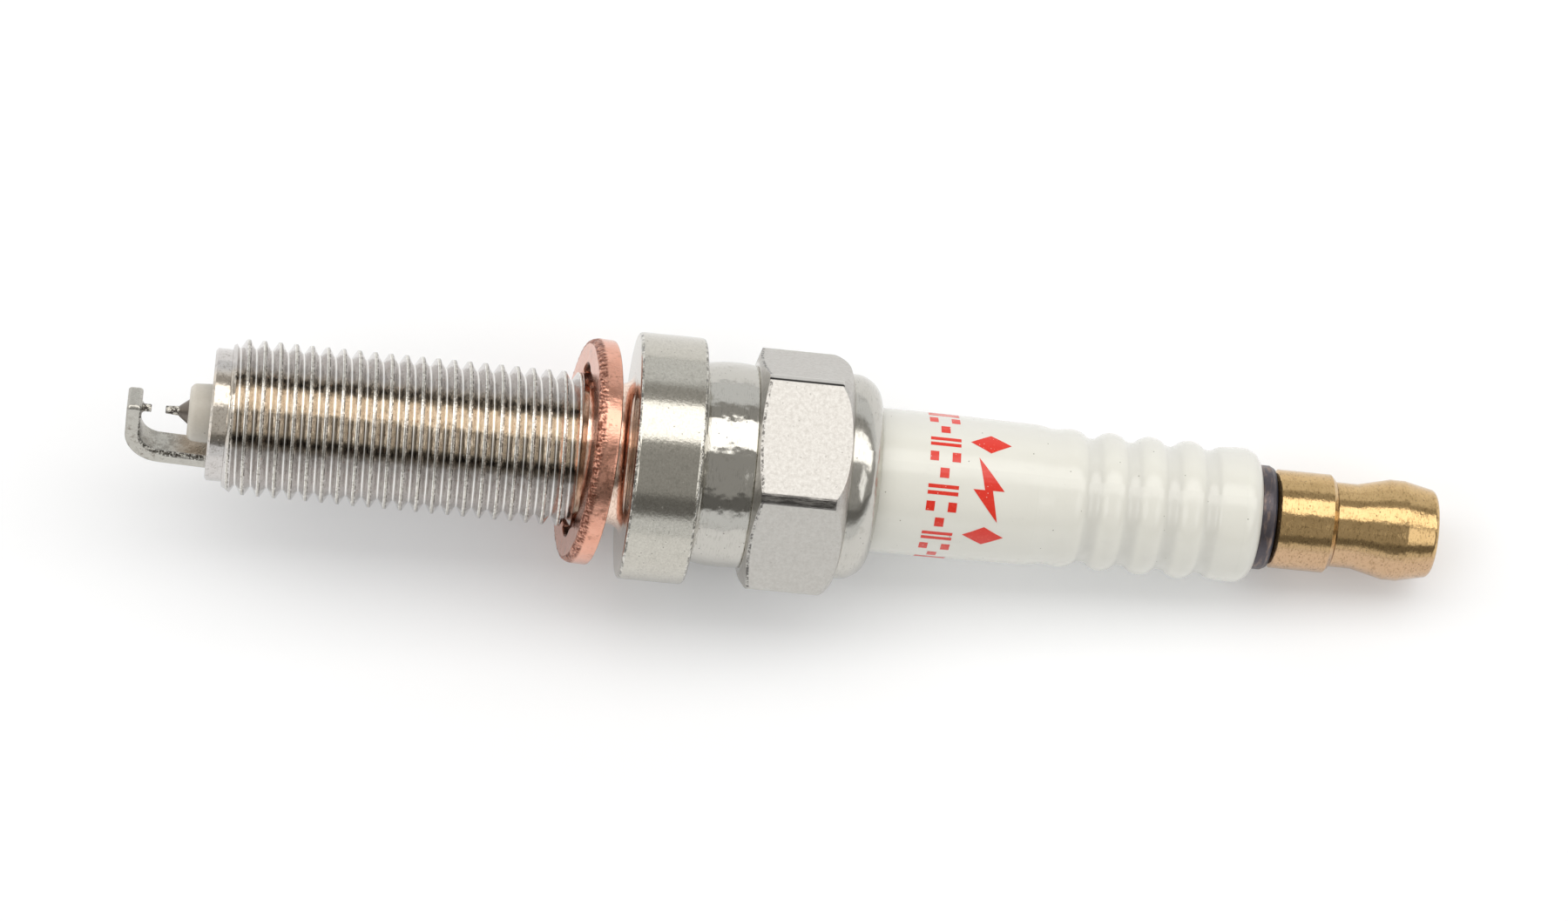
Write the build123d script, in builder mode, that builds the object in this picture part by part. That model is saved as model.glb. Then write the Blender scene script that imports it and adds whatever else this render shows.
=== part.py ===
from build123d import *
import os
from math import atan, cos, radians, sin, tan

# Spark plug, long-reach M10 x 1.0, lying on its side.
# Millimetres. +X runs along the plug from the firing end to the terminal, +Z is up.
# The origin is on the plug's axis, in the plane of the flange face that the gasket seals against.

# ---------------------------------------------------------------- driving dimensions
# thread and seat
THREAD_RADIUS = 4.92
THREAD_ROOT_RADIUS = 4.355
THREAD_PITCH = 1.0
THREAD_REACH = 26.5
THREAD_TURNS = 22
THREAD_ROOT_FLAT = 0.12
THREAD_OVERCUT = 0.12
THREAD_START_TURN = 37          # degrees past +Z, clear of the solids' seams
HALF_THREAD_ANGLE_TAN = tan(radians(30))
THREAD_CREST_X = -23.52       # where a crest passes the direction THREAD_CREST_ANGLE
THREAD_CREST_ANGLE = 16.4     # degrees from +Y towards +Z
THREAD_LEAD_IN = 0.7
THREAD_LEAD_RADIUS = 4.48
PILOT_RADIUS = 4.2
PILOT_LENGTH = 1.1
PILOT_EDGE = 0.15
NECK_RADIUS = 4.5
NECK_FILLET = 0.8
NECK_END_X = -2.9             # the blank rises from the neck to the thread between these two
BLANK_START_X = -3.3
SHELL_FRONT_BORE = 2.84

# shell body
FLANGE_RADIUS = 7.87
FLANGE_WIDTH = 4.3
FLANGE_ROUND = 0.3
GROOVE_RADIUS = 6.35
BULGE_RADIUS = 6.54
BULGE_X = 6.05
BULGE_DROP = 0.08             # the bulge falls by this much at the hexagon
GROOVE_CORNER = 0.2
SHELL_UNDERCUT = 0.2          # how far the tube under the hexagon lies below the collar
SHELL_UNDERCUT_LENGTH = 0.3
HEX_ACROSS_FLATS = 14.0
HEX_CORNER_RADIUS = 7.95
HEX_FRONT_RADIUS = 6.7        # the front chamfer starts here
HEX_START = 7.7
HEX_END = 13.75
HEX_FRONT_CHAMFER = 0.42
HEX_REAR_ROUND = 1.0
COLLAR_RADIUS = 6.55
COLLAR_END = 15.8
COLLAR_BEND_X = 14.6
COLLAR_LIP = 0.16
COLLAR_MOUTH = 0.3
COLLAR_BAND = 0.7             # length of the collar's hole beside the insulator
COLLAR_INSIDE_SLOPE = 0.35
COLLAR_SHOULDER_X = 15.35
COLLAR_SHOULDER_RADIUS = 5.95
COLLAR_CLEARANCE = 0.03
SHELL_MIDDLE_BORE = 3.4
SHELL_HEAD_BORE = 5.5
SHELL_SHOULDER_GAP = 0.35     # room in front of the insulator's shoulder

# gasket
GASKET_RADIUS = 7.2
GASKET_THICKNESS = 1.5
GASKET_HOLE = 5.15
GASKET_CHAMFER = 0.35
GASKET_INNER_CHAMFER = 0.25
GASKET_CENTRE_X = -2.55
GASKET_TILT = 6.6             # the loose gasket leans, its +Z side towards the flange
GASKET_NIB_RADIUS = 4.66
GASKET_NIB_ANGLES = (18, -72, -162)   # degrees from +Y towards +Z
GASKET_NIB_WIDTH = 2.6
GASKET_NIB_ROOT = 0.4         # how far a nib reaches into the ring behind the hole
GASKET_NIB_THICKNESS = 0.35   # the punch thins a nib to this

# insulator
NOSE_X = -27.87
NOSE_RADIUS = 1.84
NOSE_ROUND = 0.45
LEG_RADIUS = 2.42
SEAT_X = -14.8                # the shell's inner ledge at LEDGE_RADIUS
LEDGE_RADIUS = 2.6
LEDGE_LENGTH = 0.95
LEDGE_RAMP = 0.25
SEAT_SLOPE = 0.85             # axial rise for each unit of radius
PACKING_THICKNESS = 0.35
INSULATOR_MIDDLE_RADIUS = 3.34
INSULATOR_HEAD_RADIUS = 5.44
INSULATOR_SHOULDER_X = 3.0
INSULATOR_HEAD_X = 4.9
INSULATOR_HEAD_END = 10.4
HEAD_SLOPE_LENGTH = 0.9
BARREL_RADIUS = 4.6
BARREL_TAPER_X = 20.0
BARREL_END_RADIUS = 4.5
BARREL_END_X = 25.9
FIRST_VALLEY_X = 27.0
FIRST_VALLEY_RADIUS = 4.32
RIB_RADIUS = 4.43
RIB_GROOVE_RADIUS = 3.94
RIB_GROOVE_X = 29.5
RIB_PITCH = 2.54
RIB_GROOVES = 4
RIB_GROOVE_ROUND = 0.7
TOP_LAND_RADIUS = 4.32
TOP_ROUND = 1.2
TOP_LAND_RISE = 0.6           # length over which the last groove rises to the land
INSULATOR_TOP_X = 40.5
FRONT_BORE = 1.0
REAR_BORE = 1.9
BORE_STEP_X = -9.6

# electrodes
CENTRE_RADIUS = 0.95
CENTRE_CONE_X = -27.67
CENTRE_CONE_END_X = -28.45
CENTRE_HEAD_RADIUS = 1.8
CENTRE_HEAD_END_X = -8.4
CORE_RADIUS = 0.55
CORE_FRONT_X = -26.2
CORE_POINT = 0.4
CENTRE_TIP_RADIUS = 0.25
CENTRE_TIP_BASE_RADIUS = 0.31 # the tip swells towards its weld
CENTRE_TIP_X = -29.31
STRAP_THICKNESS = 0.94
STRAP_WELD_OVERLAP = 0.2
STRAP_WIDTH = 1.97
STRAP_ROOT_SPLAY = 0.2        # the leg stands this much further out at the shell than at its bend
STRAP_BEND_RADIUS = 2.3
STRAP_END_ROUND = 0.3
STRAP_EDGE_ROUND = 0.16
STRAP_END_PAST_AXIS = 0.9
STRAP_DIRECTION = (0, -0.479, -0.878)
SPARK_GAP = 0.89
GROUND_TIP_RADIUS = 0.25
GROUND_TIP_LENGTH = 0.6
GROUND_WELD_RADIUS = 0.45
GROUND_WELD_LENGTH = 0.26
TIP_EDGE = 0.03

# seals, resistor and stud
SEAL_RADIUS = 1.88
LOWER_SEAL_END_X = -5.4
RESISTOR_END_X = 6.6
UPPER_SEAL_END_X = 10.0
STUD_SHANK_RADIUS = 1.5
STUD_GUIDE_RADIUS = 1.84
STUD_KNURL_END_X = 15.0
STUD_KNURL_GROOVES = 5
STUD_KNURL_PITCH = 0.8
STUD_GUIDE_X = 36.5
STUD_COLLAR_RADIUS = 3.35
STUD_COLLAR_END_X = 41.42
STUD_COLLAR_EDGE = 0.3
STUD_THREAD_RADIUS = 1.98
STUD_THREAD_ROOT = 1.6
STUD_THREAD_PITCH = 0.7
STUD_THREAD_TURNS = 11
STUD_ROOT_FLAT = 0.08
STUD_END_X = 48.6

# wire rings and talc between shell and insulator
WIRE_RADIUS = 0.42
LOWER_WIRE_X = 11.75
UPPER_WIRE_X = 14.03

# terminal nut
NUT_START_X = 41.5
NUT_BASE_RADIUS = 3.175
NUT_BASE_END_X = 45.4
NUT_WAIST_RADIUS = 2.73
NUT_WAIST_END_X = 47.0
NUT_CROWN_RADIUS = 3.23
NUT_CROWN_X = 49.1
NUT_CROWN_END_X = 50.0
NUT_TIP_RADIUS = 2.86
NUT_END_X = 52.1
NUT_TIP_ROUND = 0.4
NUT_EDGE = 0.25
NUT_BORE_RADIUS = 2.05
NUT_BORE_END_X = 49.3
NUT_BORE_POINT = 0.8
NUT_WAIST_STEP = 0.12


os.makedirs("parts", exist_ok=True)


def finish(part, name):
    """Label one finished piece and write it under its node's name."""
    part.label = name
    export_step(part, f"parts/{name}.step")


def thread_groove(pitch, turns, root, crest, start_x, root_flat, cone_angle=0):
    """A V-shaped helical groove about the X axis, which starts THREAD_START_TURN past +Z."""
    with BuildPart() as groove:
        with BuildLine() as path:
            Helix(
                pitch,
                turns * pitch,
                root,
                center=(start_x, 0, 0),
                direction=(1, 0, 0),
                cone_angle=cone_angle,
            )
        depth = crest - root + THREAD_OVERCUT
        mouth = root_flat / 2 + depth * HALF_THREAD_ANGLE_TAN
        with BuildSketch(Plane(origin=path.line @ 0, x_dir=(0, 0, 1), z_dir=path.line % 0)):
            with BuildLine():
                Polyline(
                    (0, -root_flat / 2),
                    (depth, -mouth),
                    (depth, mouth),
                    (0, root_flat / 2),
                    close=True,
                )
            make_face()
        sweep(is_frenet=True)
    return groove.part.rotate(Axis.X, THREAD_START_TURN)


def seat_x(radius):
    """The axial place of the shell's conical inner ledge at a radius."""
    return SEAT_X + (radius - LEDGE_RADIUS) * SEAT_SLOPE


# ---------------------------------------------------------------- metal shell
ledge_end_x = seat_x(SHELL_MIDDLE_BORE)
thread_start_x = -THREAD_REACH + PILOT_LENGTH
collar_inside_x = COLLAR_END - COLLAR_MOUTH - COLLAR_BAND
# from the crest's direction round to the groove's start, and then half a pitch on to the groove
crest_to_groove = (90 + THREAD_START_TURN - THREAD_CREST_ANGLE) / 360 + 0.5
groove_start_x = THREAD_CREST_X + THREAD_PITCH * (crest_to_groove - 3)

with BuildPart() as wrench_hexagon:
    with BuildSketch(Plane.YZ.offset(HEX_START)):
        RegularPolygon(HEX_ACROSS_FLATS / 2, 6, major_radius=False, rotation=0)
    extrude(amount=HEX_END - HEX_START)
    # both ends are chamfered and the six corners are turned down to one radius
    with BuildSketch(Plane.XZ):
        with BuildLine():
            Polyline(
                (HEX_END, COLLAR_RADIUS),
                (HEX_END, 0),
                (HEX_START, 0),
                (HEX_START, HEX_FRONT_RADIUS),
                (HEX_START + HEX_FRONT_CHAMFER, HEX_CORNER_RADIUS),
                (HEX_END - HEX_REAR_ROUND, HEX_CORNER_RADIUS),
            )
            ThreePointArc(
                (HEX_END - HEX_REAR_ROUND, HEX_CORNER_RADIUS),
                (HEX_END - HEX_REAR_ROUND * 0.5, HEX_CORNER_RADIUS - HEX_REAR_ROUND * 0.43),
                (HEX_END, COLLAR_RADIUS),
            )
        make_face()
    revolve(axis=Axis.X, mode=Mode.INTERSECT)

with BuildPart() as metal_shell:
    # pilot ring, thread blank, neck, flange, crimp groove and the tube under the hexagon
    with BuildSketch(Plane.XZ):
        with BuildLine():
            Line((0, FLANGE_RADIUS - FLANGE_ROUND), (0, NECK_RADIUS + NECK_FILLET))
            RadiusArc((0, NECK_RADIUS + NECK_FILLET), (-NECK_FILLET, NECK_RADIUS), NECK_FILLET)
            Polyline(
                (-NECK_FILLET, NECK_RADIUS),
                (NECK_END_X, NECK_RADIUS),
                (BLANK_START_X, THREAD_RADIUS),
                (thread_start_x + THREAD_LEAD_IN, THREAD_RADIUS),
                (thread_start_x, THREAD_LEAD_RADIUS),
                (thread_start_x - 0.05, PILOT_RADIUS),
                (-THREAD_REACH + PILOT_EDGE, PILOT_RADIUS),
                (-THREAD_REACH, PILOT_RADIUS - PILOT_EDGE),
                (-THREAD_REACH, SHELL_FRONT_BORE),
                (SEAT_X - LEDGE_LENGTH - LEDGE_RAMP, SHELL_FRONT_BORE),
                (SEAT_X - LEDGE_LENGTH, LEDGE_RADIUS),
                (SEAT_X, LEDGE_RADIUS),
                (ledge_end_x, SHELL_MIDDLE_BORE),
                (INSULATOR_SHOULDER_X - SHELL_SHOULDER_GAP, SHELL_MIDDLE_BORE),
                (INSULATOR_HEAD_X - SHELL_SHOULDER_GAP, SHELL_HEAD_BORE),
                (collar_inside_x - COLLAR_INSIDE_SLOPE, SHELL_HEAD_BORE),
                (collar_inside_x, BARREL_RADIUS + COLLAR_CLEARANCE),
                (COLLAR_END - COLLAR_MOUTH, BARREL_RADIUS + COLLAR_CLEARANCE),
                (COLLAR_END, BARREL_RADIUS + COLLAR_LIP),
            )
            # the collar is rolled inwards over the upper wire ring and onto the insulator
            Spline(
                (COLLAR_END, BARREL_RADIUS + COLLAR_LIP),
                (COLLAR_SHOULDER_X, COLLAR_SHOULDER_RADIUS),
                (COLLAR_BEND_X, COLLAR_RADIUS - 0.1),
                (HEX_END, COLLAR_RADIUS),
                tangents=((-0.1, 1), (-1, 0)),
            )
            Polyline(
                (HEX_END, COLLAR_RADIUS),
                (HEX_END - SHELL_UNDERCUT_LENGTH, COLLAR_RADIUS - SHELL_UNDERCUT),
                (HEX_START, COLLAR_RADIUS - SHELL_UNDERCUT),
                (HEX_START, BULGE_RADIUS - BULGE_DROP),
            )
            bulge = ThreePointArc(
                (HEX_START, BULGE_RADIUS - BULGE_DROP),
                (BULGE_X, BULGE_RADIUS),
                (FLANGE_WIDTH + GROOVE_CORNER, GROOVE_RADIUS),
            )
            Polyline(
                bulge @ 1,
                (FLANGE_WIDTH, GROOVE_RADIUS + GROOVE_CORNER),
                (FLANGE_WIDTH, FLANGE_RADIUS - FLANGE_ROUND),
            )
            RadiusArc(
                (FLANGE_WIDTH, FLANGE_RADIUS - FLANGE_ROUND),
                (FLANGE_WIDTH - FLANGE_ROUND, FLANGE_RADIUS),
                -FLANGE_ROUND,
            )
            Line((FLANGE_WIDTH - FLANGE_ROUND, FLANGE_RADIUS), (FLANGE_ROUND, FLANGE_RADIUS))
            RadiusArc((FLANGE_ROUND, FLANGE_RADIUS), (0, FLANGE_RADIUS - FLANGE_ROUND), -FLANGE_ROUND)
        make_face()
    revolve(axis=Axis.X)
    add(wrench_hexagon.part)
    # the hexagon stands on the shell as a ring, open in the middle
    with BuildSketch(Plane.YZ.offset(HEX_START)):
        Circle(SHELL_HEAD_BORE)
    extrude(amount=HEX_END - HEX_START, mode=Mode.SUBTRACT)
    # the thread is a right-handed helical groove, which starts off the pilot ring
    # and climbs out of the blank on its last turn
    add(
        thread_groove(
            THREAD_PITCH,
            THREAD_TURNS,
            THREAD_ROOT_RADIUS,
            THREAD_RADIUS,
            groove_start_x,
            THREAD_ROOT_FLAT,
        ),
        mode=Mode.SUBTRACT,
        clean=False,
    )
    add(
        thread_groove(
            THREAD_PITCH,
            1,
            THREAD_ROOT_RADIUS,
            THREAD_RADIUS,
            groove_start_x + THREAD_TURNS * THREAD_PITCH,
            THREAD_ROOT_FLAT,
            cone_angle=30,
        ),
        mode=Mode.SUBTRACT,
        clean=False,
    )
finish(metal_shell.part, "metal_shell")

# ---------------------------------------------------------------- gasket, loose on the neck
lean = radians(GASKET_TILT)
gasket_axis = Vector(cos(lean), 0, -sin(lean))
gasket_face = Plane(
    origin=Vector(GASKET_CENTRE_X, 0, 0) - gasket_axis * (GASKET_THICKNESS / 2),
    x_dir=(0, 1, 0),
    z_dir=gasket_axis,
)
with BuildPart() as gasket:
    with BuildSketch(gasket_face):
        Circle(GASKET_RADIUS)
        Circle(GASKET_HOLE, mode=Mode.SUBTRACT)
    extrude(amount=GASKET_THICKNESS)
    face_rims = gasket.edges().filter_by(GeomType.CIRCLE).group_by(Axis((0, 0, 0), gasket_axis))[0]
    face_rims = face_rims.sort_by(SortBy.LENGTH)
    chamfer(face_rims[-1], GASKET_CHAMFER)
    chamfer(face_rims[0], GASKET_INNER_CHAMFER)
    # three nibs, punched inwards from the face, keep the gasket behind the thread
    with BuildSketch(gasket_face.offset(GASKET_THICKNESS - GASKET_NIB_THICKNESS)):
        nib_depth = GASKET_HOLE + GASKET_NIB_ROOT - GASKET_NIB_RADIUS
        for angle in GASKET_NIB_ANGLES:
            with PolarLocations(GASKET_NIB_RADIUS + nib_depth / 2, 1, start_angle=angle):
                Rectangle(nib_depth, GASKET_NIB_WIDTH)
    extrude(amount=GASKET_NIB_THICKNESS)
finish(gasket.part, "gasket")

# ---------------------------------------------------------------- lower packing washer
with BuildPart() as seat_packing:
    with BuildSketch(Plane.XZ):
        with BuildLine():
            inner = LEDGE_RADIUS + 0.05
            outer = SHELL_MIDDLE_BORE - 0.05
            Polyline(
                (seat_x(inner), inner),
                (seat_x(outer), outer),
                (seat_x(outer) + PACKING_THICKNESS, outer),
                (seat_x(inner) + PACKING_THICKNESS, inner),
                close=True,
            )
        make_face()
    revolve(axis=Axis.X)
finish(seat_packing.part, "seat_packing")

# ---------------------------------------------------------------- insulator
half_pitch = RIB_PITCH / 2
rib_slope = 2 * atan((RIB_RADIUS - RIB_GROOVE_RADIUS) / half_pitch)
groove_half_width = RIB_GROOVE_ROUND * sin(rib_slope)
rib_edge_radius = RIB_GROOVE_RADIUS + RIB_GROOVE_ROUND * (1 - cos(rib_slope))
last_groove_end_x = RIB_GROOVE_X + (RIB_GROOVES - 1) * RIB_PITCH + groove_half_width
barrel_start_x = INSULATOR_HEAD_END + HEAD_SLOPE_LENGTH
leg_end_x = seat_x(LEDGE_RADIUS) + PACKING_THICKNESS
middle_start_x = seat_x(INSULATOR_MIDDLE_RADIUS) + PACKING_THICKNESS

with BuildPart() as insulator:
    with BuildSketch(Plane.XZ):
        with BuildLine():
            Line((barrel_start_x, BARREL_RADIUS), (BARREL_TAPER_X, BARREL_RADIUS))
            barrel = Line((BARREL_TAPER_X, BARREL_RADIUS), (BARREL_END_X, BARREL_END_RADIUS))
            Spline(
                barrel @ 1,
                (FIRST_VALLEY_X, FIRST_VALLEY_RADIUS),
                (RIB_GROOVE_X - half_pitch, RIB_RADIUS),
                (RIB_GROOVE_X - groove_half_width, rib_edge_radius),
                tangents=(barrel % 1, (cos(rib_slope), -sin(rib_slope))),
            )
            # ribbed end: concave grooves and convex lands, tangent to each other
            for index in range(RIB_GROOVES):
                x = RIB_GROOVE_X + index * RIB_PITCH
                ThreePointArc(
                    (x - groove_half_width, rib_edge_radius),
                    (x, RIB_GROOVE_RADIUS),
                    (x + groove_half_width, rib_edge_radius),
                )
                if index < RIB_GROOVES - 1:
                    ThreePointArc(
                        (x + groove_half_width, rib_edge_radius),
                        (x + half_pitch, RIB_RADIUS),
                        (x + RIB_PITCH - groove_half_width, rib_edge_radius),
                    )
            Spline(
                (last_groove_end_x, rib_edge_radius),
                (last_groove_end_x + TOP_LAND_RISE, TOP_LAND_RADIUS - TOP_LAND_RISE / 10),
                (INSULATOR_TOP_X - TOP_ROUND, TOP_LAND_RADIUS),
                tangents=((cos(rib_slope), sin(rib_slope)), (1, 0)),
            )
            RadiusArc(
                (INSULATOR_TOP_X - TOP_ROUND, TOP_LAND_RADIUS),
                (INSULATOR_TOP_X, TOP_LAND_RADIUS - TOP_ROUND),
                TOP_ROUND,
            )
            # stepped bore: wide behind, narrow round the centre electrode
            Polyline(
                (INSULATOR_TOP_X, TOP_LAND_RADIUS - TOP_ROUND),
                (INSULATOR_TOP_X, REAR_BORE),
                (BORE_STEP_X, REAR_BORE),
                (BORE_STEP_X, FRONT_BORE),
                (NOSE_X, FRONT_BORE),
                (NOSE_X, NOSE_RADIUS - NOSE_ROUND),
            )
            RadiusArc(
                (NOSE_X, NOSE_RADIUS - NOSE_ROUND), (NOSE_X + NOSE_ROUND, NOSE_RADIUS), NOSE_ROUND
            )
            # leg, seat shoulder, middle, head and the shoulder under the wire rings
            Polyline(
                (NOSE_X + NOSE_ROUND, NOSE_RADIUS),
                (SEAT_X - LEDGE_LENGTH - LEDGE_RAMP, LEG_RADIUS),
                (leg_end_x, LEG_RADIUS),
                (leg_end_x, LEDGE_RADIUS),
                (middle_start_x, INSULATOR_MIDDLE_RADIUS),
                (INSULATOR_SHOULDER_X, INSULATOR_MIDDLE_RADIUS),
                (INSULATOR_HEAD_X, INSULATOR_HEAD_RADIUS),
                (INSULATOR_HEAD_END, INSULATOR_HEAD_RADIUS),
                (barrel_start_x, BARREL_RADIUS),
            )
        make_face()
    revolve(axis=Axis.X)
finish(insulator.part, "insulator")

# ---------------------------------------------------------------- rings between shell and insulator
for ring_name, ring_x in (("lower_wire_ring", LOWER_WIRE_X), ("upper_wire_ring", UPPER_WIRE_X)):
    with BuildPart() as wire_ring:
        with BuildSketch(Plane.XZ):
            with Locations((ring_x, (BARREL_RADIUS + SHELL_HEAD_BORE) / 2)):
                Circle(WIRE_RADIUS)
        revolve(axis=Axis.X)
    finish(wire_ring.part, ring_name)

with BuildPart() as talc_ring:
    with BuildSketch(Plane.YZ.offset(LOWER_WIRE_X + WIRE_RADIUS)):
        Circle(SHELL_HEAD_BORE - 0.03)
        Circle(BARREL_RADIUS + 0.03, mode=Mode.SUBTRACT)
    extrude(amount=UPPER_WIRE_X - LOWER_WIRE_X - 2 * WIRE_RADIUS)
finish(talc_ring.part, "talc_ring")

# ---------------------------------------------------------------- centre electrode
with BuildPart() as centre_electrode:
    with BuildSketch(Plane.XZ):
        with BuildLine():
            Polyline(
                (CORE_FRONT_X - CORE_POINT, 0),
                (CENTRE_CONE_END_X, 0),
                (CENTRE_CONE_END_X, CENTRE_TIP_BASE_RADIUS + TIP_EDGE),
                (CENTRE_CONE_X, CENTRE_RADIUS),
                (BORE_STEP_X, CENTRE_RADIUS),
                (BORE_STEP_X, CENTRE_HEAD_RADIUS),
                (CENTRE_HEAD_END_X - 0.3, CENTRE_HEAD_RADIUS),
                (CENTRE_HEAD_END_X, CENTRE_HEAD_RADIUS - 0.3),
                (CENTRE_HEAD_END_X, CORE_RADIUS),
                (CORE_FRONT_X, CORE_RADIUS),
                close=True,
            )
        make_face()
    revolve(axis=Axis.X)
finish(centre_electrode.part, "centre_electrode")

with BuildPart() as electrode_core:
    with BuildSketch(Plane.XZ):
        with BuildLine():
            Polyline(
                (CORE_FRONT_X - CORE_POINT, 0),
                (CENTRE_HEAD_END_X, 0),
                (CENTRE_HEAD_END_X, CORE_RADIUS),
                (CORE_FRONT_X, CORE_RADIUS),
                close=True,
            )
        make_face()
    revolve(axis=Axis.X)
finish(electrode_core.part, "electrode_core")

with BuildPart() as centre_tip:
    with BuildSketch(Plane.XZ):
        with BuildLine():
            Polyline(
                (CENTRE_TIP_X, 0),
                (CENTRE_CONE_END_X, 0),
                (CENTRE_CONE_END_X, CENTRE_TIP_BASE_RADIUS),
                (CENTRE_TIP_X + TIP_EDGE, CENTRE_TIP_RADIUS),
                (CENTRE_TIP_X, CENTRE_TIP_RADIUS - TIP_EDGE),
                close=True,
            )
        make_face()
    revolve(axis=Axis.X)
finish(centre_tip.part, "centre_tip")

# ---------------------------------------------------------------- ground electrode
ground_tip_x = CENTRE_TIP_X - SPARK_GAP
strap_x = ground_tip_x - GROUND_TIP_LENGTH - STRAP_THICKNESS / 2
strap_radius = SHELL_FRONT_BORE + 0.01 + STRAP_THICKNESS / 2
strap_direction = Vector(STRAP_DIRECTION).normalized()
strap_plane = Plane(origin=(0, 0, 0), x_dir=(1, 0, 0), z_dir=Vector(1, 0, 0).cross(strap_direction))
with BuildPart() as ground_electrode:
    # a flat bar, welded to the shell's front face and bent over the centre electrode
    with BuildLine(strap_plane) as leg:
        FilletPolyline(
            (-THREAD_REACH + STRAP_WELD_OVERLAP, strap_radius + STRAP_ROOT_SPLAY),
            (strap_x, strap_radius),
            (strap_x, -STRAP_END_PAST_AXIS),
            radius=STRAP_BEND_RADIUS - STRAP_THICKNESS / 2,
        )
    with BuildSketch(Plane(origin=leg.line @ 0, x_dir=strap_direction, z_dir=leg.line % 0)):
        RectangleRounded(STRAP_THICKNESS, STRAP_WIDTH, STRAP_EDGE_ROUND)
    sweep(path=leg.line)
    # its foot is cut flush with the shell's front face
    split(bisect_by=Plane.YZ.offset(-THREAD_REACH), keep=Keep.BOTTOM)
    free_end = ground_electrode.faces().sort_by(Axis(origin=(0, 0, 0), direction=-strap_direction))[-1]
    fillet(free_end.edges().group_by(Axis.X)[0], STRAP_END_ROUND)
finish(ground_electrode.part, "ground_electrode")

with BuildPart() as ground_tip:
    # a pin with a weld fillet at its foot
    with BuildSketch(Plane.XZ):
        with BuildLine():
            foot_x = ground_tip_x - GROUND_TIP_LENGTH
            Spline(
                (foot_x, GROUND_WELD_RADIUS),
                (foot_x + GROUND_WELD_LENGTH, GROUND_TIP_RADIUS),
                tangents=((0.35, -1), (1, 0)),
            )
            Polyline(
                (foot_x + GROUND_WELD_LENGTH, GROUND_TIP_RADIUS),
                (ground_tip_x - TIP_EDGE, GROUND_TIP_RADIUS),
                (ground_tip_x, GROUND_TIP_RADIUS - TIP_EDGE),
                (ground_tip_x, 0),
                (foot_x, 0),
                (foot_x, GROUND_WELD_RADIUS),
            )
        make_face()
    revolve(axis=Axis.X)
finish(ground_tip.part, "ground_tip")

# ---------------------------------------------------------------- glass seals and resistor
seal_stack = (
    ("lower_glass_seal", CENTRE_HEAD_END_X, LOWER_SEAL_END_X),
    ("resistor", LOWER_SEAL_END_X, RESISTOR_END_X),
    ("upper_glass_seal", RESISTOR_END_X, UPPER_SEAL_END_X),
)
for seal_name, start_x, end_x in seal_stack:
    with BuildPart() as seal:
        with BuildSketch(Plane.YZ.offset(start_x)):
            Circle(SEAL_RADIUS)
        extrude(amount=end_x - start_x)
    finish(seal.part, seal_name)

# ---------------------------------------------------------------- terminal stud
with BuildPart() as terminal_stud:
    with BuildSketch(Plane.XZ):
        with BuildLine():
            Polyline(
                (UPPER_SEAL_END_X, 0),
                (UPPER_SEAL_END_X, STUD_SHANK_RADIUS),
                (UPPER_SEAL_END_X + 0.3, STUD_GUIDE_RADIUS),
                (STUD_KNURL_END_X, STUD_GUIDE_RADIUS),
                (STUD_KNURL_END_X + 0.4, STUD_SHANK_RADIUS),
                (STUD_GUIDE_X - 0.4, STUD_SHANK_RADIUS),
                (STUD_GUIDE_X, STUD_GUIDE_RADIUS),
                (INSULATOR_TOP_X, STUD_GUIDE_RADIUS),
                (INSULATOR_TOP_X, STUD_COLLAR_RADIUS),
                (STUD_COLLAR_END_X - STUD_COLLAR_EDGE, STUD_COLLAR_RADIUS),
                (STUD_COLLAR_END_X, STUD_COLLAR_RADIUS - STUD_COLLAR_EDGE / 2),
                (STUD_COLLAR_END_X, STUD_THREAD_ROOT),
                (NUT_START_X + 0.4, STUD_THREAD_ROOT),
                (NUT_START_X + 0.8, STUD_THREAD_RADIUS),
                (STUD_END_X - 0.45, STUD_THREAD_RADIUS),
                (STUD_END_X, STUD_THREAD_ROOT),
                (STUD_END_X, 0),
                close=True,
            )
        make_face()
    revolve(axis=Axis.X)
    # ring grooves hold the foot of the stud in the glass
    for index in range(STUD_KNURL_GROOVES):
        with BuildSketch(Plane.YZ.offset(UPPER_SEAL_END_X + 0.8 + index * STUD_KNURL_PITCH)):
            Circle(STUD_GUIDE_RADIUS + 0.1)
            Circle(STUD_SHANK_RADIUS + 0.1, mode=Mode.SUBTRACT)
        extrude(amount=STUD_KNURL_PITCH / 2, mode=Mode.SUBTRACT)
    add(
        thread_groove(
            STUD_THREAD_PITCH,
            STUD_THREAD_TURNS,
            STUD_THREAD_ROOT,
            STUD_THREAD_RADIUS,
            NUT_START_X + 0.3,
            STUD_ROOT_FLAT,
        ),
        mode=Mode.SUBTRACT,
        clean=False,
    )
finish(terminal_stud.part, "terminal_stud")

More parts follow.
